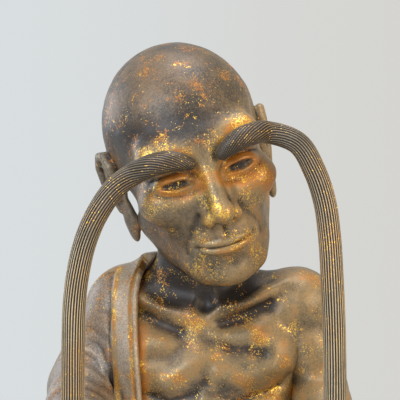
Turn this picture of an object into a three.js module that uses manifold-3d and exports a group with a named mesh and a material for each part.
// A seated luohan figure with long eyebrows, cast in bronze as an assembly: a hollow seat casting of crossed
// legs under a robe, a torso that nests in it, a robe casting with one sleeve, a bare arm, two fists, a
// hollow head and two eyebrow rods that run from the brow over an arch and down through the fists.
// Millimetres, +Z up. The figure faces -Y and stands on Z = 0, with the origin at the middle of its foot.
import * as THREE from "three";
import { mergeVertices } from "three/addons/utils/BufferGeometryUtils.js";
import Module from "manifold-3d";

const wasm = await Module();
wasm.setup();

// Driving dimensions, in millimetres, with angles in degrees.
const WALL = 4; // casting wall
const FIT_GAP = 0.3; // clearance between pieces that meet
const SINK = 0.6; // how far a pin's end lies below the skin, under the lacquer

// Seat: crossed legs under the robe.
const SEAT_WIDTH = 172;
const SEAT_DEPTH = 124;
const HEM_HEIGHT = 20;
const KNEE_HEIGHT = 44;
const KNEE_RADIUS = 20;
const KNEE_FORWARD = 18; // middle of the knees in front of the foot's middle
const THIGH_RADIUS = 24;
const THIGH_OUT = 27; // root of each thigh from the middle of the figure
const SHIN_RADIUS = 16;
const SHIN_FORWARD = 14; // top of each shin in front of the knee and below it
const SHIN_DROP = 5;
const ANKLE_RADIUS = 12;
const ANKLE_CROSS = 16; // how far each ankle passes the middle of the figure
const ANKLE_INSET = 18; // ankles behind the front edge of the foot
const ANKLE_LIFT = 10; // the left ankle above the right one
const HIP_WIDTH = 112;
const HIP_DEPTH = 88;
const HIP_TOP = 64;
const HIP_MIDDLE = 23; // height of the widest part of the hips
const HIP_INSET = 0.5; // back of the hips inside the edge of the foot
const DECK_HEIGHT = 50; // top of the deck that the torso stands on
const DECK_THICKNESS = 7;
const SEAT_FILLET = 7;
const ROLL_RADIUS = 5; // robe rolled over at the waist
const ROLL_RISE = 9; // middle of the roll above the deck

// Closing plate and tie rod.
const PLATE_HEIGHT = 9; // underside of the plate above the foot
const PLATE_THICKNESS = 3;
const PLATE_RIM = 26; // from the foot's edge to the plate's edge
const LEDGE = 3; // width of the ledge that the plate bears on
const ROD_RADIUS = 4;
const ROD_GRIP = 9; // length of rod screwed into the torso's web
const ROD_STUB = 1; // length of rod below the nut
const NUT_HEIGHT = 4;
const NUT_RADIUS = 7;
const WASHER_RADIUS = 10;
const WASHER_THICKNESS = 1.2;
const CORE_HOLE_RADIUS = 17; // hole through the deck and the torso's foot

// Torso.
const SPINE_Y = 8; // the torso's middle plane behind the foot's middle
const SHOULDER_HEIGHT = 147; // line of the shoulders above the foot
const SHOULDER_RIGHT = 31; // middle of each shoulder ball from the middle of the figure
const SHOULDER_LEFT = 40;
const SHOULDER_RADIUS_RIGHT = 13;
const SHOULDER_RADIUS_LEFT = 15;
const CHEST_WIDTH = 86;
const CHEST_DEPTH = 58;
const CHEST_HEIGHT = 80;
const CHEST_DROP = 24; // middle of the chest below the shoulder line
const TRUNK_WIDTH = 82;
const TRUNK_DEPTH = 62;
const TRUNK_HEIGHT = 124;
const TRUNK_DROP = 62; // middle of the trunk below the shoulder line
const SHOULDER_FORWARD = 4; // shoulder line in front of the spine
const TORSO_FILLET = 12;
const BREAST_OUT_RIGHT = 19; // middle of each breast muscle from the middle of the figure
const BREAST_OUT_LEFT = 23;
const BREAST_FORWARD = 16; // and in front of the spine
const BREAST_DROP = 20; // and below the shoulder line
const BREAST_WIDTH = 36;
const BREAST_DEPTH = 24;
const BREAST_HEIGHT = 28;
const BLADE_OUT = 23; // middle of each shoulder blade from the middle of the figure
const BLADE_BACK = 18; // and behind the spine
const BLADE_DROP = 18; // and below the shoulder line
const BLADE_WIDTH = 26;
const BLADE_DEPTH = 18;
const BLADE_HEIGHT = 34;
const MUSCLE_FILLET = 7;
const NECK_RADIUS = 15;
const NECK_FLARE = 2; // how much wider the neck is at its foot
const WEB_DROP = 14; // top of the torso's hollow below the shoulder line

// Head, and how it is carried.
const HEAD_WIDTH = 66;
const HEAD_DEPTH = 84;
const HEAD_HEIGHT = 98;
const HEAD_RISE = 64; // middle of the head above the shoulder line
const HEAD_FORWARD = 17; // middle of the head in front of the spine
const HEAD_SIDE = -4;
const HEAD_NOD = 12;
const HEAD_LEAN = -18;
const HEAD_TURN = 12;
const HEAD_FILLET = 7;
const FEATURE_FILLET = 3;
const BROW_RIDGE_RADIUS = 7.5;
const NOSE_BRIDGE_RADIUS = 3.2;
const NOSE_RADIUS = 5;
const LIP_RADIUS = 3;
const NECK_SEAT = 26; // top of the neck below the middle of the head
const NECK_BACK = 5; // top of the neck behind the middle of the head

// Arms and fists.
const ARM_PARTING = 41; // flat joint face of the bare arm from the middle of the figure
const ARM_OUT_RIGHT = 34; // middle of each arm's top from the middle of the figure
const ARM_OUT_LEFT = 43;
const ARM_DROP = 1; // middle of each arm's top below the shoulder line
const UPPER_ARM = 38;
const ELBOW_BACK = 3; // elbows behind the shoulders
const FOREARM = 44;
const ARM_SPREAD_RIGHT = 25; // how far each upper arm leans out
const ARM_SPREAD_LEFT = 14;
const FOREARM_DROP = 18; // how far the forearm slopes down
const FOREARM_INWARD_RIGHT = 1; // how far each forearm turns inward
const FOREARM_INWARD_LEFT = 0;
const DELTOID_RADIUS = 15;
const CROWN_RADIUS = 7; // flat top of the bare shoulder
const BICEPS_RADIUS = 12.6;
const ARM_RADIUS = 12;
const FOREARM_RADIUS = 11.2;
const WRIST_RADIUS = 7.5;
const SLEEVE_RADIUS = 15;
const CUFF_RADIUS = 13;
const CUFF_DEPTH = 3;
const SLEEVE_FILLET = 8;
const SLEEVE_LENGTH = 37; // of the hanging part, along the forearm
const SLEEVE_DROP = 26; // how far the hanging sleeve reaches below the forearm
const SLEEVE_THICKNESS = 20;
const SLEEVE_PLACE = 0.4; // middle of the hanging part, in shares of the forearm from the elbow
const SLEEVE_MIDDLE = 0.2; // middle of the whole sleeve, in the same shares
const BICEPS_PLACE = 0.5; // in shares of the upper arm from the shoulder
const BULGE_PLACE = 0.35; // thickest part of the forearm, in shares of it from the elbow
const TENON_RADIUS = 6;
const TENON_LENGTH = 12;
const WRIST_TENON_RADIUS = 4.5;
const WRIST_TENON_LENGTH = 9;
const GRIP_REACH = 13; // middle of the fist beyond the wrist
const FINGER_RADIUS = 2.7;
const FINGER_PITCH = 4.7;
const FINGERS = 4;
const FINGER_FROM = 60; // turn about the rod, from the figure's outer side, where the fingers start and end
const FINGER_TO = -190;
const THUMB_RADIUS = 3.1;
const THUMB_DROP = 1.6; // middle of the thumb below the top of the palm
const THUMB_FROM = 130;
const THUMB_TO = 300;
const PALM_WIDTH = 15;
const PALM_DEPTH = 12;
const PALM_HEIGHT = 22;
const PALM_FILLET = 4;
const PALM_OUT = 1.5; // palm outside the rod

// Robe.
const ROBE_THICKNESS = 3;
const ROBE_EDGE = 27; // the robe's front edge from the middle of the chest
const ROBE_EDGE_TOP = 19; // the same edge where it passes the neck
const ROBE_EDGE_FOOT = 21; // the same edge at the waist
const ROBE_BACK_EDGE = 33; // the robe's edge on the bare side of the back
const ROBE_BACK_DROP = 21; // where that edge turns up to the neck, below the shoulder line
const COLLAR_RISE = 23; // top of the robe behind the neck above the shoulder line
const BAND_WIDTH = 11; // border along the front edge
const BAND_THICKNESS = 1.2;

// Folds of the cloth.
const SKIRT_FOLDS = 16; // round the seat
const SKIRT_FOLD_DEPTH = 2.2;
const SKIRT_FOLD_LEAN = 70; // height over which a fold passes to the next one's place
const SKIRT_FOLD_START = 0.45; // where the folds begin and are full, in shares of the way to the foot's edge
const SKIRT_FOLD_FULL = 0.8;
const SKIRT_WANDERS = 3; // how often the folds stray and come back on the way round
const LAP_FOLD_PITCH = 17; // from fold to fold, outward from each knee
const LAP_FOLD_DEPTH = 2.4;
const ROBE_FOLDS = 12; // round the torso
const ROBE_FOLD_DEPTH = 2.2;
const ROBE_FOLD_FALL = 57; // how far a fold drops on its way round one radian of the back
const SLEEVE_FOLD_PITCH = 12.5; // from fold to fold, outward from the elbow
const SLEEVE_FOLD_DEPTH = 1.8;
const FOLD_WANDER = 0.2; // how far folds stray, in shares of their pitch
const FOLD_FADE = 9; // length over which folds run out into plain cloth

// Eyebrows.
const BROW_RADIUS = 4.5;
const BROW_ROOT_RADIUS = 3.6;
const BROW_TIP_RADIUS = 1.8;
const BROW_ROOT_LENGTH = 26; // length over which the rod thickens from its root
const BROW_TIP_LENGTH = 40; // length that hangs below the fist

// Pins.
const PIN_RADIUS = 1.6;
const PIN_LENGTH = 14;
const NECK_PIN_LENGTH = 28;
const NECK_PIN_FALL = 0.33; // slope of the neck's pin, down towards the nape
const SMALL_PIN_RADIUS = 1.2;
const WRIST_PIN_LENGTH = 11;
const BROW_PIN_PLACE = 15; // along the eyebrow from its root
const RIVET_RADIUS = 2;
const RIVETS = 3;
const RIVET_START = -14; // first rivet from the middle of the back
const RIVET_STEP = 14; // how far each next one lies to the figure's left
const RIVET_DROP = 18; // first rivet below the shoulder line
const RIVET_PITCH = 22; // how far each next one lies below

// Facets.
const PIN_SIDES = 8;
const ROD_SIDES = 20;
const LIMB_SIDES = 10;
const FINGER_SIDES = 6;
const ARC_STEPS = 6;
const BROW_STEPS = 36;
const SMALL_SIDES = 12; // palms and ears
const SMALL_RINGS = 8;
const HEAD_SIDES = 30;
const HEAD_RINGS = 22;
const TORSO_SIDES = 26;
const TORSO_RINGS = 18;
const HOLLOW_SIDES = 16; // hollows of the head and the torso
const HOLLOW_RINGS = 10;
const SEAT_HOLLOW_SIDES = 20;
const SEAT_SIDES = 40;
const SEAT_RINGS = 30; // from the top of the seat's skin to its foot
const ROBE_RINGS = 24;
const SLEEVE_SIDES = 28;
const SLEEVE_RINGS = 22;
const FOLD_SIDES = 4; // facets across one fold
const ROLL_SIDES = 8;

const bronze = { color: 0x6a5644, roughness: 0.5, metalness: 0.65 };
const chased = { color: 0x57493b, roughness: 0.55, metalness: 0.65 };
const cloth = { color: 0x705d50, roughness: 0.5, metalness: 0.6 };
const brass = { color: 0x9a7434, roughness: 0.4, metalness: 0.9 };
const iron = { color: 0x3b3733, roughness: 0.7, metalness: 0.8 };

const at = (x, y, z) => new THREE.Vector3(x, y, z);
const between = (a, b, share) => a.clone().lerp(b, share);
const UP = at(0, 0, 1);
const HUGE = 600; // longer than the whole figure
const SEARCH_STEP = 2; // step and halvings of the search for a form's skin
const HALVINGS = 18;
const MERGE = 1e-3; // points nearer than this are one point
const LIMB_STEPS = 3; // rings for each point of a limb

// Masses: signed distances in millimetres, negative inside.

function ellipsoid(centre, radii) {
  const squares = radii.clone().multiply(radii);
  const least = Math.min(radii.x, radii.y, radii.z);
  return (p) => {
    const from = p.clone().sub(centre);
    const near = from.clone().divide(radii).length();
    const slope = from.divide(squares).length();
    return slope === 0 ? -least : (near * (near - 1)) / slope;
  };
}

function limb(start, end, startRadius, endRadius) {
  const axis = end.clone().sub(start);
  return (p) => {
    const along = THREE.MathUtils.clamp(p.clone().sub(start).dot(axis) / axis.lengthSq(), 0, 1);
    const radius = THREE.MathUtils.lerp(startRadius, endRadius, along);
    return p.distanceTo(between(start, end, along)) - radius;
  };
}

// Masses run together, with a fillet of about the given width where they meet.
function blend(width, ...masses) {
  return (p) =>
    masses
      .map((mass) => mass(p))
      .reduce((a, b) => {
        const near = Math.max(width - Math.abs(a - b), 0);
        return Math.min(a, b) - (near * near) / (4 * width);
      });
}

const grown = (form, by) => (p) => form(p) - by;

// 1 on the crest of each fold and 0 between two, by the count of folds passed.
const crest = (folds) => (1 + Math.cos(2 * Math.PI * folds)) / 2;

const turns = (angle) => angle / (2 * Math.PI);

// From 0 to 1 while a value goes from one end of a stretch to the other.
const fade = (value, from, to) =>
  from < to ? THREE.MathUtils.smoothstep(value, from, to) : THREE.MathUtils.smoothstep(-value, -from, -to);

// Where a line from inside a form last leaves it.
function leaves(form, from, direction) {
  const reach = (far) => from.clone().addScaledVector(direction, far);
  let outside = HUGE / 2;
  while (outside > SEARCH_STEP && form(reach(outside - SEARCH_STEP)) > 0) outside -= SEARCH_STEP;
  let inside = outside - SEARCH_STEP;
  for (let halving = 0; halving < HALVINGS; halving++) {
    const middle = (inside + outside) / 2;
    if (form(reach(middle)) > 0) outside = middle;
    else inside = middle;
  }
  return reach((inside + outside) / 2);
}

// Geometry.

// A sphere's points, pushed out from a centre onto a form. The sphere's poles lie along the given axis, and
// its meridians can be twisted about it, by an angle in radians from the equator to each pole.
function skin(form, centre, around, rings, axis = UP, twist = 0) {
  const geometry = new THREE.SphereGeometry(1, around, rings);
  geometry.applyQuaternion(new THREE.Quaternion().setFromUnitVectors(at(0, 1, 0), axis));
  const points = geometry.attributes.position;
  for (let i = 0; i < points.count; i++) {
    const direction = new THREE.Vector3().fromBufferAttribute(points, i).normalize();
    direction.applyAxisAngle(axis, twist * direction.dot(axis));
    points.setXYZ(i, ...leaves(form, centre, direction));
  }
  return geometry;
}

// Rings along a curve, closed at both ends, with the radius that each share of its length has.
function loft(curve, radiusAt, sides, steps) {
  const frames = curve.computeFrenetFrames(steps, false);
  const places = [];
  for (let i = 0; i <= steps; i++) {
    const middle = curve.getPointAt(i / steps);
    const radius = radiusAt(i / steps);
    for (let j = 0; j < sides; j++) {
      const turn = (j / sides) * 2 * Math.PI;
      const rim = middle
        .clone()
        .addScaledVector(frames.normals[i], radius * Math.cos(turn))
        .addScaledVector(frames.binormals[i], radius * Math.sin(turn));
      places.push(...rim);
    }
  }
  places.push(...curve.getPointAt(0), ...curve.getPointAt(1));
  const first = (steps + 1) * sides;
  const index = [];
  for (let j = 0; j < sides; j++) {
    const next = (j + 1) % sides;
    for (let i = 0; i < steps; i++) {
      const here = i * sides;
      const there = here + sides;
      index.push(here + j, here + next, there + j, there + j, here + next, there + next);
    }
    index.push(first, next, j);
    index.push(first + 1, steps * sides + j, steps * sides + next);
  }
  const geometry = new THREE.BufferGeometry();
  geometry.setAttribute("position", new THREE.Float32BufferAttribute(places, 3));
  geometry.setIndex(index);
  return geometry;
}

// A limb through points that each have a radius.
function taper(points, radii, extra) {
  const curve = new THREE.CatmullRomCurve3(points, false, "centripetal");
  const radiusAt = (share) => {
    const place = curve.getUtoTmapping(share) * (radii.length - 1);
    const i = Math.min(Math.floor(place), radii.length - 2);
    return THREE.MathUtils.lerp(radii[i], radii[i + 1], place - i) + extra;
  };
  return solid(loft(curve, radiusAt, LIMB_SIDES, points.length * LIMB_STEPS));
}

function rod(start, end, radius, sides = PIN_SIDES) {
  const axis = end.clone().sub(start);
  const geometry = new THREE.CylinderGeometry(radius, radius, axis.length(), sides);
  geometry.applyQuaternion(new THREE.Quaternion().setFromUnitVectors(at(0, 1, 0), axis.normalize()));
  return geometry.translate(...between(start, end, 0.5));
}

function slab(low, high) {
  const size = HUGE * 2;
  return new THREE.BoxGeometry(size, size, high - low).translate(0, 0, (low + high) / 2);
}

// Everything to the figure's left of a plane.
function beyond(x) {
  return new THREE.BoxGeometry(HUGE, HUGE * 2, HUGE * 2).translate(x + HUGE / 2, 0, 0);
}

// An outline in X and Z, carried from one Y to another.
function curtain(points, front, back) {
  const outline = new THREE.Shape(points.map(([x, z]) => new THREE.Vector2(x, z)));
  const geometry = new THREE.ExtrudeGeometry(outline, { depth: back - front, bevelEnabled: false });
  return geometry.rotateX(Math.PI / 2).translate(0, back, 0);
}

// Solids.

function solid(geometry) {
  const bare = geometry.clone();
  bare.deleteAttribute("normal");
  bare.deleteAttribute("uv");
  const merged = mergeVertices(bare, MERGE);
  const vertProperties = new Float32Array(merged.attributes.position.array);
  const triVerts = new Uint32Array(merged.index.array);
  return new wasm.Manifold(new wasm.Mesh({ numProp: 3, vertProperties, triVerts }));
}

const skinSolid = (...settings) => solid(skin(...settings));
const rodSolid = (...settings) => solid(rod(...settings));
const join = (first, ...rest) => rest.reduce((whole, piece) => whole.add(piece), first);
const cut = (first, ...tools) => tools.reduce((whole, tool) => whole.subtract(tool), first);

function piece(name, body, look) {
  const { vertProperties, triVerts } = body.getMesh();
  const geometry = new THREE.BufferGeometry();
  geometry.setAttribute("position", new THREE.Float32BufferAttribute(vertProperties, 3));
  geometry.setIndex(new THREE.Uint32BufferAttribute(triVerts, 1));
  geometry.computeVertexNormals();
  const mesh = new THREE.Mesh(geometry, new THREE.MeshStandardMaterial(look));
  mesh.name = name;
  return mesh;
}

// A pin that runs inward from its outer end, and the hole that it sits in.
function pinFrom(end, outward, radius, length) {
  const foot = end.clone().addScaledVector(outward, -length);
  const mouth = end.clone().addScaledVector(outward, length);
  const holeFoot = foot.clone().addScaledVector(outward, -FIT_GAP);
  return { body: rodSolid(foot, end, radius), hole: rodSolid(holeFoot, mouth, radius + FIT_GAP) };
}

// The same, with its outer end just under a form's skin.
function pin(form, from, outward, radius, length) {
  return pinFrom(leaves(form, from, outward).addScaledVector(outward, -SINK), outward, radius, length);
}

// Skeleton: the points that the masses hang on. The figure's right is -X and its left is +X.

const onSide = (side, right, left) => (side < 0 ? right : left);
const shoulder = (side) =>
  at(
    side * onSide(side, ARM_OUT_RIGHT, ARM_OUT_LEFT),
    SPINE_Y - SHOULDER_FORWARD,
    SHOULDER_HEIGHT - ARM_DROP,
  );
const neckBase = at(0, SPINE_Y - SHOULDER_FORWARD, SHOULDER_HEIGHT);
const headCentre = at(HEAD_SIDE, SPINE_Y - HEAD_FORWARD, SHOULDER_HEIGHT + HEAD_RISE);
const headTilt = new THREE.Euler(
  THREE.MathUtils.degToRad(HEAD_NOD),
  THREE.MathUtils.degToRad(HEAD_LEAN),
  THREE.MathUtils.degToRad(HEAD_TURN),
  "ZXY",
);
const headFrame = new THREE.Matrix4().makeRotationFromEuler(headTilt).setPosition(headCentre);
const headFrameInverse = headFrame.clone().invert();

// A point of the head, in shares of its half width, half depth and half height.
const inHead = (x, y, z) => at((x * HEAD_WIDTH) / 2, (y * HEAD_DEPTH) / 2, (z * HEAD_HEIGHT) / 2);
const onHead = (x, y, z) => inHead(x, y, z).applyMatrix4(headFrame);
const headSide = (x, y, z) => at(x, y, z).transformDirection(headFrame);
const neckTop = at(HEAD_SIDE, headCentre.y + NECK_BACK, headCentre.z - NECK_SEAT);

function elbow(side) {
  const lean = THREE.MathUtils.degToRad(onSide(side, ARM_SPREAD_RIGHT, ARM_SPREAD_LEFT));
  const down = at(side * Math.sin(lean), 0, -Math.cos(lean));
  return shoulder(side).addScaledVector(down, UPPER_ARM).add(at(0, ELBOW_BACK, 0));
}

function wrist(side) {
  const drop = THREE.MathUtils.degToRad(FOREARM_DROP);
  const inward = THREE.MathUtils.degToRad(onSide(side, FOREARM_INWARD_RIGHT, FOREARM_INWARD_LEFT));
  const forward = at(-side * Math.sin(inward), -Math.cos(drop), -Math.sin(drop));
  return elbow(side).add(forward.setLength(FOREARM));
}

const forearmAxis = (side) => wrist(side).sub(elbow(side)).normalize();
const grip = (side) => wrist(side).addScaledVector(forearmAxis(side), GRIP_REACH);

// Forms.

const trunkForm = blend(
  TORSO_FILLET,
  ellipsoid(
    at(0, SPINE_Y, SHOULDER_HEIGHT - CHEST_DROP),
    at(CHEST_WIDTH / 2, CHEST_DEPTH / 2, CHEST_HEIGHT / 2),
  ),
  ellipsoid(
    at(0, SPINE_Y, SHOULDER_HEIGHT - TRUNK_DROP),
    at(TRUNK_WIDTH / 2, TRUNK_DEPTH / 2, TRUNK_HEIGHT / 2),
  ),
  limb(
    at(-SHOULDER_RIGHT, SPINE_Y - SHOULDER_FORWARD, SHOULDER_HEIGHT),
    at(SHOULDER_LEFT, SPINE_Y - SHOULDER_FORWARD, SHOULDER_HEIGHT),
    SHOULDER_RADIUS_RIGHT,
    SHOULDER_RADIUS_LEFT,
  ),
  limb(neckBase, neckTop, NECK_RADIUS + NECK_FLARE, NECK_RADIUS),
);
const breast = (side) =>
  ellipsoid(
    at(
      side * onSide(side, BREAST_OUT_RIGHT, BREAST_OUT_LEFT),
      SPINE_Y - BREAST_FORWARD,
      SHOULDER_HEIGHT - BREAST_DROP,
    ),
    at(BREAST_WIDTH / 2, BREAST_DEPTH / 2, BREAST_HEIGHT / 2),
  );
const blade = (side) =>
  ellipsoid(
    at(side * BLADE_OUT, SPINE_Y + BLADE_BACK, SHOULDER_HEIGHT - BLADE_DROP),
    at(BLADE_WIDTH / 2, BLADE_DEPTH / 2, BLADE_HEIGHT / 2),
  );
const torsoForm = blend(MUSCLE_FILLET, trunkForm, ...mirrored(breast), ...mirrored(blade));
const torsoCentre = at(0, SPINE_Y, (DECK_HEIGHT + SHOULDER_HEIGHT) / 2);
const torsoSkin = (by) => skinSolid(grown(torsoForm, by), torsoCentre, TORSO_SIDES, TORSO_RINGS);

function mirrored(mass) {
  return [mass(-1), mass(1)];
}

const knee = (side) =>
  at(side * (SEAT_WIDTH / 2 - KNEE_RADIUS), -KNEE_FORWARD, KNEE_HEIGHT - KNEE_RADIUS);
const hips = ellipsoid(
  at(0, SEAT_DEPTH / 2 - HIP_DEPTH / 2 - HIP_INSET, HIP_MIDDLE),
  at(HIP_WIDTH / 2, HIP_DEPTH / 2, HIP_TOP - HIP_MIDDLE),
);
const thigh = (side) =>
  limb(at(side * THIGH_OUT, SPINE_Y, THIGH_RADIUS), knee(side), THIGH_RADIUS, KNEE_RADIUS);
const ankle = (side) =>
  at(-side * ANKLE_CROSS, ANKLE_INSET - SEAT_DEPTH / 2, ANKLE_RADIUS + onSide(side, 0, ANKLE_LIFT));
const shin = (side) =>
  limb(knee(side).add(at(0, -SHIN_FORWARD, -SHIN_DROP)), ankle(side), SHIN_RADIUS, ANKLE_RADIUS);
const hem = ellipsoid(at(0, 0, 0), at(SEAT_WIDTH / 2, SEAT_DEPTH / 2, HEM_HEIGHT));
const waist = ellipsoid(
  at(0, SPINE_Y, DECK_HEIGHT - ROLL_RADIUS),
  at(TRUNK_WIDTH / 2 + ROLL_RADIUS, TRUNK_DEPTH / 2 + ROLL_RADIUS, ROLL_RISE + ROLL_RADIUS * 2),
);
const seatCore = blend(SEAT_FILLET, hips, ...mirrored(thigh), waist);
const seatForm = blend(SEAT_FILLET, seatCore, ...mirrored(shin), hem);
const seatCentre = at(0, SPINE_Y, KNEE_HEIGHT / 2);

// How far the seat's cloth sinks between its folds. Round the hips the folds hang from the waist, over the
// lap they spread from the knees, and they run out above the hem.
function seatSink(p) {
  const angle = Math.atan2(Math.abs(p.x), SPINE_Y - p.y);
  const stray = FOLD_WANDER * Math.sin(SKIRT_WANDERS * angle) + p.z / SKIRT_FOLD_LEAN;
  const skirt = 1 - crest(SKIRT_FOLDS * turns(angle) + stray);
  const outward = Math.hypot((2 * p.x) / SEAT_WIDTH, (2 * p.y) / SEAT_DEPTH);
  const offDeck = fade(p.z, KNEE_HEIGHT - FOLD_FADE / 2, HIP_MIDDLE);
  const onSkirt = fade(outward, SKIRT_FOLD_START, SKIRT_FOLD_FULL) * offDeck;
  const fromKnee = Math.min(...mirrored((side) => p.distanceTo(knee(side))));
  const lap = 1 - crest(fromKnee / LAP_FOLD_PITCH + FOLD_WANDER * Math.sin(p.y / FOLD_FADE));
  const onLap = fade(p.y, 0, -2 * FOLD_FADE) * fade(p.z, HEM_HEIGHT / 2, HEM_HEIGHT);
  const plainKnee = fade(fromKnee, KNEE_RADIUS, KNEE_RADIUS + FOLD_FADE);
  const skirtSink = SKIRT_FOLD_DEPTH * skirt * onSkirt * (1 - onLap);
  const belowDeck = fade(p.z, DECK_HEIGHT, DECK_HEIGHT - FOLD_FADE);
  const lapSink = LAP_FOLD_DEPTH * lap * onLap * plainKnee * belowDeck;
  return (skirtSink + lapSink) * fade(p.z, 0, FOLD_FADE);
}

const drapedSeat = (p) => seatForm(p) + seatSink(p);

// The face is built on the usual canon: eyes at half the head's height, the brow, the nose and the chin a
// third of the face apart, and the ears from the brow to the nose with long lobes.
const headMasses = blend(
  HEAD_FILLET,
  ellipsoid(inHead(0, 0.14, 0.27), inHead(1, 0.9, 0.73)),
  ellipsoid(inHead(0, -0.2, -0.24), inHead(0.82, 0.72, 0.73)),
  ellipsoid(inHead(0, -0.54, -0.72), inHead(0.5, 0.34, 0.28)),
  limb(inHead(-0.56, -0.68, 0.2), inHead(0.56, -0.68, 0.2), BROW_RIDGE_RADIUS, BROW_RIDGE_RADIUS),
  ...mirrored((side) => ellipsoid(inHead(side * 0.58, -0.58, -0.2), inHead(0.3, 0.26, 0.19))),
);
const headFeatures = blend(
  FEATURE_FILLET,
  headMasses,
  limb(inHead(0, -0.84, 0.1), inHead(0, -1.02, -0.3), NOSE_BRIDGE_RADIUS, NOSE_RADIUS),
  ...mirrored((side) => ellipsoid(inHead(side * 0.14, -0.94, -0.34), inHead(0.11, 0.09, 0.07))),
  limb(inHead(-0.22, -0.86, -0.57), inHead(0.22, -0.86, -0.57), LIP_RADIUS, LIP_RADIUS),
);
const earForm = (side) =>
  blend(
    FEATURE_FILLET,
    ellipsoid(inHead(side * 0.99, 0.14, -0.04), inHead(0.1, 0.18, 0.27)),
    ellipsoid(inHead(side * 0.93, 0.08, -0.4), inHead(0.1, 0.12, 0.22)),
  );
const inHeadFrame = (form) => (p) => form(p.clone().applyMatrix4(headFrameInverse));
const headForm = inHeadFrame(headFeatures);

const sleeveForm = blend(
  SLEEVE_FILLET,
  limb(shoulder(-1), elbow(-1), SLEEVE_RADIUS, SLEEVE_RADIUS),
  limb(elbow(-1), wrist(-1), SLEEVE_RADIUS, CUFF_RADIUS),
  ellipsoid(
    between(elbow(-1), wrist(-1), SLEEVE_PLACE).add(at(0, 0, -SLEEVE_DROP / 2)),
    at(SLEEVE_THICKNESS / 2, SLEEVE_LENGTH / 2, SLEEVE_DROP),
  ),
);

// How far the sleeve's folds rise, in rings outward from the elbow.
function sleeveRise(p) {
  const ring = crest(p.distanceTo(elbow(-1)) / SLEEVE_FOLD_PITCH + FOLD_WANDER * Math.sin(p.z / FOLD_FADE));
  return SLEEVE_FOLD_DEPTH * ring * fade(p.z, SHOULDER_HEIGHT, SHOULDER_HEIGHT - 2 * FOLD_FADE);
}

// How far the robe's folds rise. On the back they fall from the covered shoulder towards the bare side's hip.
function robeRise(p) {
  const angle = Math.atan2(p.x, p.y - SPINE_Y) + p.z / ROBE_FOLD_FALL;
  const onBack = fade(p.y, SPINE_Y - FOLD_FADE, SPINE_Y + FOLD_FADE / 2);
  const offEdge = fade(p.x, ROBE_BACK_EDGE, ROBE_BACK_EDGE - FOLD_FADE);
  const offShoulder = fade(p.z, SHOULDER_HEIGHT, SHOULDER_HEIGHT - ROBE_BACK_DROP);
  return ROBE_FOLD_DEPTH * crest(ROBE_FOLDS * turns(angle)) * onBack * offEdge * offShoulder;
}

const robeForm = (p) => torsoForm(p) - FIT_GAP - ROBE_THICKNESS - robeRise(p);
const drapedSleeve = (p) => sleeveForm(p) - sleeveRise(p);

// Eyebrow rods: along the brow, out over the arch, down through the fist to a free tip.

// Where each eyebrow lies on the brow, in shares of the head, from the nose's bridge to the temple.
const BROW_LINE = [
  [0.15, -0.95, 0.115],
  [0.36, -0.935, 0.185],
  [0.6, -0.87, 0.2],
  [0.84, -0.75, 0.155],
];
// The arch from the temple to the fist, in shares of the way out and of the way down.
const ARCH_RIGHT = [
  [0.31, 0.05],
  [0.6, 0.14],
  [0.8, 0.24],
  [0.92, 0.35],
  [0.98, 0.46],
  [1, 0.62],
];
const ARCH_LEFT = [
  [0.47, 0.035],
  [0.72, 0.12],
  [0.87, 0.215],
  [0.94, 0.325],
  [0.97, 0.435],
  [1, 0.62],
];

function browCurve(side) {
  const line = BROW_LINE.map(([out, forward, up]) => onHead(side * out, forward, up));
  const temple = line[line.length - 1];
  const hold = grip(side);
  const arch = onSide(side, ARCH_RIGHT, ARCH_LEFT).map(([out, down]) =>
    at(
      THREE.MathUtils.lerp(temple.x, hold.x, out),
      THREE.MathUtils.lerp(temple.y, hold.y, Math.sqrt(down)),
      THREE.MathUtils.lerp(temple.z, hold.z, down),
    ),
  );
  const over = hold.clone().add(at(0, 0, PALM_HEIGHT / 2));
  const under = hold.clone().add(at(0, 0, -PALM_HEIGHT / 2));
  const tip = under.clone().add(at(0, 0, -BROW_TIP_LENGTH));
  return new THREE.CatmullRomCurve3([...line, ...arch, over, under, tip], false, "centripetal");
}

function browSolid(side, extra) {
  const curve = browCurve(side);
  const length = curve.getLength();
  const radiusAt = (share) => {
    const fromRoot = Math.min((share * length) / BROW_ROOT_LENGTH, 1);
    const fromTip = Math.min(((1 - share) * length) / BROW_TIP_LENGTH, 1);
    const grown = THREE.MathUtils.lerp(BROW_ROOT_RADIUS, BROW_RADIUS, fromRoot);
    return THREE.MathUtils.lerp(BROW_TIP_RADIUS, grown, Math.sqrt(fromTip)) + extra;
  };
  return solid(loft(curve, radiusAt, LIMB_SIDES, BROW_STEPS));
}

// The face that a fist butts against: the bare wrist on the left, the floor of the cuff on the right.
const wristFace = (side) => wrist(side).addScaledVector(forearmAxis(side), onSide(side, -CUFF_DEPTH, 0));

// The part of a body that lies in front of that face.
function beforeWrist(body, side, gap) {
  const start = wristFace(side).addScaledVector(forearmAxis(side), gap);
  const end = wristFace(side).addScaledVector(forearmAxis(side), HUGE);
  return body.intersect(rodSolid(start, end, HUGE));
}

// Fists: a palm behind the rod, with fingers that wrap round it, and a tenon into the forearm.

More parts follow.
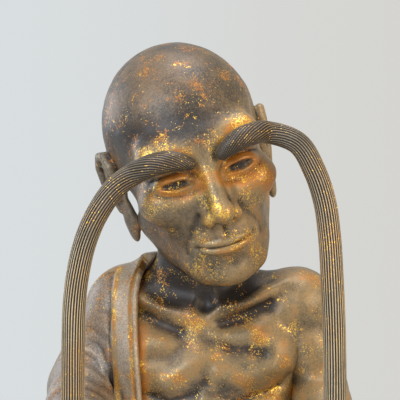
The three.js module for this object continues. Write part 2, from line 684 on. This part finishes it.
function fistSolid(side) {
  const hold = grip(side);
  const along = forearmAxis(side);
  const wrap = BROW_RADIUS + FIT_GAP + FINGER_RADIUS;
  const palmCentre = hold.clone().add(at(side * PALM_OUT, wrap, 0));
  const palm = skinSolid(
    blend(
      PALM_FILLET,
      ellipsoid(palmCentre, at(PALM_WIDTH / 2, PALM_DEPTH / 2, PALM_HEIGHT / 2)),
      limb(palmCentre, wrist(side), WRIST_RADIUS, WRIST_RADIUS),
    ),
    palmCentre,
    SMALL_SIDES,
    SMALL_RINGS,
  );
  const finger = (height, from, to, radius) => {
    const points = [];
    for (let i = 0; i <= ARC_STEPS; i++) {
      const turn = THREE.MathUtils.degToRad(THREE.MathUtils.lerp(from, to, i / ARC_STEPS));
      points.push(hold.clone().add(at(side * wrap * Math.cos(turn), wrap * Math.sin(turn), height)));
    }
    return solid(loft(new THREE.CatmullRomCurve3(points), () => radius, FINGER_SIDES, ARC_STEPS));
  };
  const fingers = [finger(PALM_HEIGHT / 2 - THUMB_DROP, THUMB_FROM, THUMB_TO, THUMB_RADIUS)];
  for (let i = 0; i < FINGERS; i++) {
    const height = (i - (FINGERS - 1) / 2) * FINGER_PITCH - FINGER_RADIUS / 2;
    fingers.push(finger(height, FINGER_FROM, FINGER_TO, FINGER_RADIUS));
  }
  const tenonEnd = wrist(side).addScaledVector(along, -WRIST_TENON_LENGTH);
  const hand = beforeWrist(join(palm, ...fingers), side, FIT_GAP);
  const tenonRoot = wrist(side).addScaledVector(along, GRIP_REACH / 2);
  return join(hand, rodSolid(tenonEnd, tenonRoot, WRIST_TENON_RADIUS));
}

const wristSocket = (side) =>
  rodSolid(
    wrist(side).addScaledVector(forearmAxis(side), -WRIST_TENON_LENGTH - FIT_GAP),
    grip(side),
    WRIST_TENON_RADIUS + FIT_GAP,
  );

// The pieces.

const rodAxis = (z) => at(0, SPINE_Y, z);
const washerTop = PLATE_HEIGHT - FIT_GAP;
const nutTop = washerTop - WASHER_THICKNESS - FIT_GAP;
const rodFoot = nutTop - NUT_HEIGHT - ROD_STUB;
const rodTop = SHOULDER_HEIGHT - WEB_DROP + ROD_GRIP;
const rodHole = rodSolid(rodAxis(0), rodAxis(rodTop + FIT_GAP), ROD_RADIUS + FIT_GAP, ROD_SIDES);

const torsoClear = torsoSkin(FIT_GAP);
const browClear = (side) => browSolid(side, FIT_GAP);

// An oval of the closing plate's shape, made smaller by an inset.
function plateOval(inset, low, high) {
  const oval = new THREE.CylinderGeometry(1, 1, high - low, SEAT_SIDES).rotateX(Math.PI / 2);
  oval.scale(SEAT_WIDTH / 2 - PLATE_RIM - inset, SEAT_DEPTH / 2 - PLATE_RIM - inset, 1);
  return solid(oval.translate(0, 0, (low + high) / 2));
}

function makePlate() {
  const plate = plateOval(FIT_GAP, PLATE_HEIGHT, PLATE_HEIGHT + PLATE_THICKNESS);
  return cut(plate, rodHole);
}

function seatSkin(by) {
  const roll = new THREE.TorusGeometry(TRUNK_WIDTH / 2, ROLL_RADIUS + by, ROLL_SIDES, SEAT_SIDES);
  roll.scale(1, TRUNK_DEPTH / TRUNK_WIDTH, 1).translate(...rodAxis(DECK_HEIGHT + ROLL_RISE));
  const drape = skinSolid(grown(drapedSeat, by), seatCentre, FOLD_SIDES * SKIRT_FOLDS, SEAT_RINGS);
  return join(drape, solid(roll));
}

function makeSeat(holes) {
  const hollow = skinSolid(grown(seatCore, -WALL), seatCentre, SEAT_HOLLOW_SIDES, HOLLOW_RINGS);
  const core = rodSolid(rodAxis(0), rodAxis(HUGE), CORE_HOLE_RADIUS, ROD_SIDES);
  const standing = cut(seatSkin(0), solid(slab(-HUGE, 0)));
  return cut(
    standing,
    hollow.intersect(plateOval(LEDGE, 0, DECK_HEIGHT - DECK_THICKNESS)),
    plateOval(0, -HUGE, PLATE_HEIGHT + PLATE_THICKNESS + FIT_GAP),
    core,
    torsoClear.intersect(solid(slab(DECK_HEIGHT, HUGE))),
    ...holes,
  );
}

function makeTorso(holes) {
  const web = SHOULDER_HEIGHT - WEB_DROP;
  const inner = skinSolid(grown(torsoForm, -WALL), torsoCentre, HOLLOW_SIDES, HOLLOW_RINGS);
  const hollow = inner.intersect(solid(slab(-HUGE, web)));
  return cut(
    torsoSkin(0),
    solid(slab(-HUGE, DECK_HEIGHT + FIT_GAP)),
    hollow.intersect(solid(slab(DECK_HEIGHT + WALL, HUGE))),
    rodSolid(rodAxis(0), rodAxis(DECK_HEIGHT + 2 * WALL), CORE_HOLE_RADIUS, ROD_SIDES),
    rodHole,
    ...holes,
  );
}

function makeRobe(holes) {
  const collar = SHOULDER_HEIGHT + COLLAR_RISE;
  const chest = SHOULDER_HEIGHT + SHOULDER_RADIUS_RIGHT;
  const belt = DECK_HEIGHT + ROLL_RISE;
  const front = curtain(
    [
      [-HUGE, belt],
      [-ROBE_EDGE_FOOT, belt],
      [-ROBE_EDGE, chest],
      [-ROBE_EDGE_TOP, collar],
      [-HUGE, collar],
    ],
    -HUGE,
    SPINE_Y,
  );
  const back = curtain(
    [
      [-HUGE, belt],
      [ROBE_BACK_EDGE, belt],
      [ROBE_BACK_EDGE, SHOULDER_HEIGHT - ROBE_BACK_DROP],
      [NECK_RADIUS, SHOULDER_HEIGHT + SHOULDER_RADIUS_LEFT],
      [0, collar],
      [-HUGE, collar],
    ],
    SPINE_Y,
    HUGE,
  );
  const band = curtain(
    [
      [-ROBE_EDGE_FOOT - BAND_WIDTH, belt],
      [-ROBE_EDGE_FOOT, belt],
      [-ROBE_EDGE, chest],
      [-ROBE_EDGE - BAND_WIDTH, chest],
    ],
    -HUGE,
    SPINE_Y - SHOULDER_RADIUS_RIGHT / 2,
  );
  const twist = TRUNK_WIDTH / 2 / ROBE_FOLD_FALL; // so that the facets run along the folds
  const drape = skinSolid(robeForm, torsoCentre, FOLD_SIDES * ROBE_FOLDS, ROBE_RINGS, UP, twist);
  const mantle = drape.intersect(join(solid(front), solid(back)));
  const border = torsoSkin(FIT_GAP + ROBE_THICKNESS + BAND_THICKNESS).intersect(solid(band));
  const sleeveCentre = between(elbow(-1), wrist(-1), SLEEVE_MIDDLE);
  const ahead = wrist(-1).addScaledVector(forearmAxis(-1), HUGE);
  const fullSleeve = skinSolid(drapedSleeve, sleeveCentre, SLEEVE_SIDES, SLEEVE_RINGS);
  const sleeve = cut(fullSleeve, rodSolid(wrist(-1), ahead, HUGE));
  const cuff = rodSolid(wristFace(-1), ahead, CUFF_RADIUS - ROBE_THICKNESS, ROD_SIDES);
  return cut(
    join(mantle, border, sleeve),
    torsoClear,
    seatSkin(FIT_GAP),
    cuff,
    wristSocket(-1),
    browClear(-1),
    armClear,
    ...holes,
  );
}

// The bare arm: one loft from the shoulder to the wrist, with a flat face and a tenon towards the torso.

function armSolid(extra) {
  const crown = shoulder(1).add(at(0, 0, DELTOID_RADIUS));
  const biceps = between(shoulder(1), elbow(1), BICEPS_PLACE);
  const bulge = between(elbow(1), wrist(1), BULGE_PLACE);
  const upper = taper(
    [crown, shoulder(1), biceps, elbow(1)],
    [CROWN_RADIUS, DELTOID_RADIUS, BICEPS_RADIUS, ARM_RADIUS],
    extra,
  );
  const lower = taper([elbow(1), bulge, wrist(1)], [ARM_RADIUS, FOREARM_RADIUS, WRIST_RADIUS], extra);
  const joint = solid(new THREE.SphereGeometry(ARM_RADIUS + extra, LIMB_SIDES, LIMB_SIDES / 2));
  const whole = join(upper, lower, joint.translate([...elbow(1)]));
  return whole.intersect(solid(beyond(ARM_PARTING - extra)));
}

function makeLeftArm(holes) {
  const tenonStart = shoulder(1).setX(ARM_PARTING - TENON_LENGTH);
  const tenon = rodSolid(tenonStart, shoulder(1).add(at(TENON_RADIUS, 0, 0)), TENON_RADIUS);
  return cut(join(armSolid(0), tenon), wristSocket(1), ...holes);
}

const shoulderSocket = rodSolid(
  shoulder(1).setX(ARM_PARTING - TENON_LENGTH - FIT_GAP),
  shoulder(1),
  TENON_RADIUS + FIT_GAP,
);
const armClear = armSolid(FIT_GAP);
const aboveArmpit = solid(slab(SHOULDER_HEIGHT - DELTOID_RADIUS, HUGE));
const armBed = join(armClear, solid(beyond(ARM_PARTING - FIT_GAP)).intersect(aboveArmpit));

function makeHead(holes) {
  const centre = at(0, 0, 0);
  const outer = skin(headFeatures, centre, HEAD_SIDES, HEAD_RINGS, at(0, 1, 0)).applyMatrix4(headFrame);
  const inner = skin(grown(headMasses, -WALL), centre, HOLLOW_SIDES, HOLLOW_RINGS).applyMatrix4(headFrame);
  const ear = (side) =>
    skin(earForm(side), inHead(side * 0.96, 0.11, -0.2), SMALL_SIDES, SMALL_RINGS).applyMatrix4(headFrame);
  const blank = join(solid(outer), ...mirrored(ear).map(solid));
  return cut(blank, solid(inner), torsoClear, ...mirrored(browClear), ...holes);
}

const makeFist = (side, holes) => cut(fistSolid(side), browClear(side), ...holes);

// Pins and rivets are found on the skins that they go through.

function browPin(side) {
  const curve = browCurve(side);
  const outward = headSide(0, -1, 0);
  const middle = curve.getPointAt(BROW_PIN_PLACE / curve.getLength());
  const end = middle.addScaledVector(outward, BROW_ROOT_RADIUS - SINK);
  return pinFrom(end, outward, SMALL_PIN_RADIUS, PIN_LENGTH);
}

function wristPin(side) {
  const arm = onSide(side, sleeveForm, limb(elbow(1), wrist(1), ARM_RADIUS, WRIST_RADIUS));
  const place = wrist(side).addScaledVector(forearmAxis(side), -WRIST_TENON_LENGTH / 2);
  return pin(arm, place, at(side, 0, 0), SMALL_PIN_RADIUS, WRIST_PIN_LENGTH);
}

function waistPin(side) {
  return pin(seatForm, rodAxis(DECK_HEIGHT + PIN_RADIUS * 2), at(side, 0, 0), PIN_RADIUS, PIN_LENGTH);
}

function robeRivet(_, i) {
  const from = at(RIVET_START + i * RIVET_STEP, SPINE_Y, SHOULDER_HEIGHT - RIVET_DROP - i * RIVET_PITCH);
  const robeBack = grown(torsoForm, FIT_GAP + ROBE_THICKNESS);
  return pin(robeBack, from, at(0, 1, 0), RIVET_RADIUS, ROBE_THICKNESS + WALL + FIT_GAP);
}

const [rightBrowPin, leftBrowPin] = mirrored(browPin);
const [rightWristPin, leftWristPin] = mirrored(wristPin);
const waistPins = mirrored(waistPin);
const rivets = Array.from({ length: RIVETS }, robeRivet);
const neckPin = pin(headForm, neckTop, headSide(0, 1, -NECK_PIN_FALL), PIN_RADIUS, NECK_PIN_LENGTH);
const tenonMiddle = shoulder(1).setX(ARM_PARTING - TENON_LENGTH / 2);
const armPin = pin(torsoForm, tenonMiddle, UP, PIN_RADIUS, SHOULDER_RADIUS_LEFT + TENON_RADIUS / 2);

const holesOf = (...pins) => pins.map((one) => one.hole);

function makeRod() {
  return rodSolid(rodAxis(rodFoot), rodAxis(rodTop), ROD_RADIUS, ROD_SIDES);
}

function makeWasher() {
  const disc = rodSolid(rodAxis(washerTop - WASHER_THICKNESS), rodAxis(washerTop), WASHER_RADIUS, ROD_SIDES);
  return cut(disc, rodHole);
}

function makeNut() {
  const hexagon = 6;
  return cut(rodSolid(rodAxis(nutTop - NUT_HEIGHT), rodAxis(nutTop), NUT_RADIUS, hexagon), rodHole);
}

const figure = new THREE.Group();
const headGroup = new THREE.Group();
headGroup.position.copy(headCentre);
headGroup.rotation.copy(headTilt);
figure.add(headGroup);
figure.updateMatrixWorld(true);

function addTo(group, mesh) {
  mesh.geometry.applyMatrix4(group.matrixWorld.clone().invert());
  group.add(mesh);
}

const torsoHoles = [...holesOf(...waistPins, armPin, neckPin, ...rivets), shoulderSocket, armBed];
addTo(figure, piece("seat_casting", makeSeat(holesOf(...waistPins)), cloth));
addTo(figure, piece("closing_plate", makePlate(), brass));
addTo(figure, piece("tie_rod", makeRod(), iron));
addTo(figure, piece("tie_washer", makeWasher(), iron));
addTo(figure, piece("tie_nut", makeNut(), iron));
addTo(figure, piece("torso_casting", makeTorso(torsoHoles), bronze));
addTo(figure, piece("robe_casting", makeRobe(holesOf(...rivets, rightWristPin)), cloth));
addTo(figure, piece("left_arm", makeLeftArm(holesOf(armPin, leftWristPin)), bronze));
addTo(figure, piece("right_fist", makeFist(-1, holesOf(rightWristPin)), bronze));
addTo(figure, piece("left_fist", makeFist(1, holesOf(leftWristPin)), bronze));
addTo(figure, piece("right_waist_pin", waistPins[0].body, brass));
addTo(figure, piece("left_waist_pin", waistPins[1].body, brass));
addTo(figure, piece("left_arm_pin", armPin.body, brass));
addTo(figure, piece("right_wrist_pin", rightWristPin.body, brass));
addTo(figure, piece("left_wrist_pin", leftWristPin.body, brass));
rivets.forEach((rivet, i) => addTo(figure, piece(`robe_rivet_${i + 1}`, rivet.body, brass)));
addTo(headGroup, piece("head_casting", makeHead(holesOf(neckPin, rightBrowPin, leftBrowPin)), bronze));
addTo(headGroup, piece("neck_pin", neckPin.body, brass));
addTo(headGroup, piece("right_eyebrow", cut(browSolid(-1, 0), rightBrowPin.hole), chased));
addTo(headGroup, piece("left_eyebrow", cut(browSolid(1, 0), leftBrowPin.hole), chased));
addTo(headGroup, piece("right_eyebrow_pin", rightBrowPin.body, brass));
addTo(headGroup, piece("left_eyebrow_pin", leftBrowPin.body, brass));

export default figure;
